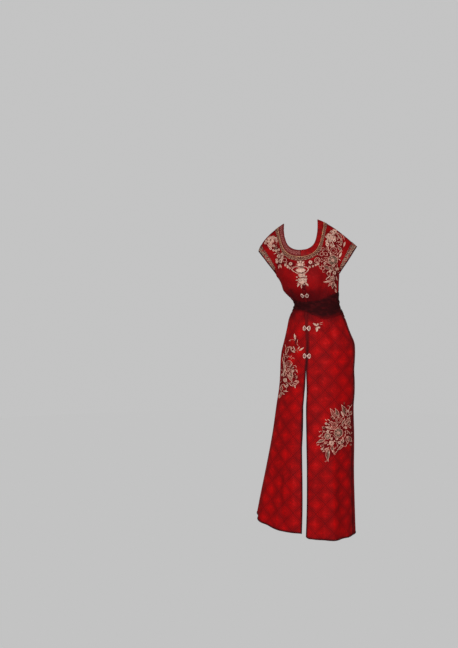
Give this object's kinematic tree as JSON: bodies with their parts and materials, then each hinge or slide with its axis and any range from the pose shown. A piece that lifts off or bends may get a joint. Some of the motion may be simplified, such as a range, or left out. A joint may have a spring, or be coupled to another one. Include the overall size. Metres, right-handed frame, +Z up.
{
  "type": "worn open-front over-robe with sash",
  "caption": "Long short-sleeved Ming-style over-robe with its sash, in its worn hollow form: round neck, fronts meeting under metal clasps, open hem and back vent.",
  "frame": {"origin": "where the wearer's shoulders carry the robe, midway between the two neck points", "axes": "+Z up; the front faces -Y; the wearer's own left is +X"},
  "size_m": [0.4186, 0.32, 1.31],
  "materials": {
    "brocade": "red damask with a low sheen, figured in its own colour",
    "binding": "dark maroon satin binding",
    "collar": "plain red satin band",
    "piping": "pale gold twisted piping",
    "lace": "taupe woven band with a small scroll figure",
    "cuff": "taupe and gold woven sleeve band",
    "pendant": "cream satin-stitched motif",
    "sash": "near-black crushed gauze",
    "clasp": "warm silver, cast in relief"
  },
  "bodies": {
    "root": {"front_right": "brocade", "front_left": "brocade", "back_right": "brocade", "back_left": "brocade", "lace_band_right": "lace", "lace_band_left": "lace", "neck_piping_right": "piping", "neck_piping_left": "piping", "collar_band_right": "collar", "collar_band_left": "collar", "cuff_right": "cuff", "cuff_left": "cuff", "front_binding_right": "binding", "front_binding_left": "binding", "back_binding_right": "binding", "back_binding_left": "binding", "pendant_right": "pendant", "pendant_left": "pendant", "clasp_upper_right": "clasp", "clasp_upper_left": "clasp", "clasp_middle_right": "clasp", "clasp_middle_left": "clasp", "clasp_lower_right": "clasp", "clasp_lower_left": "clasp", "sash_front": "sash", "sash_back": "sash"}
  },
  "joints": []
}
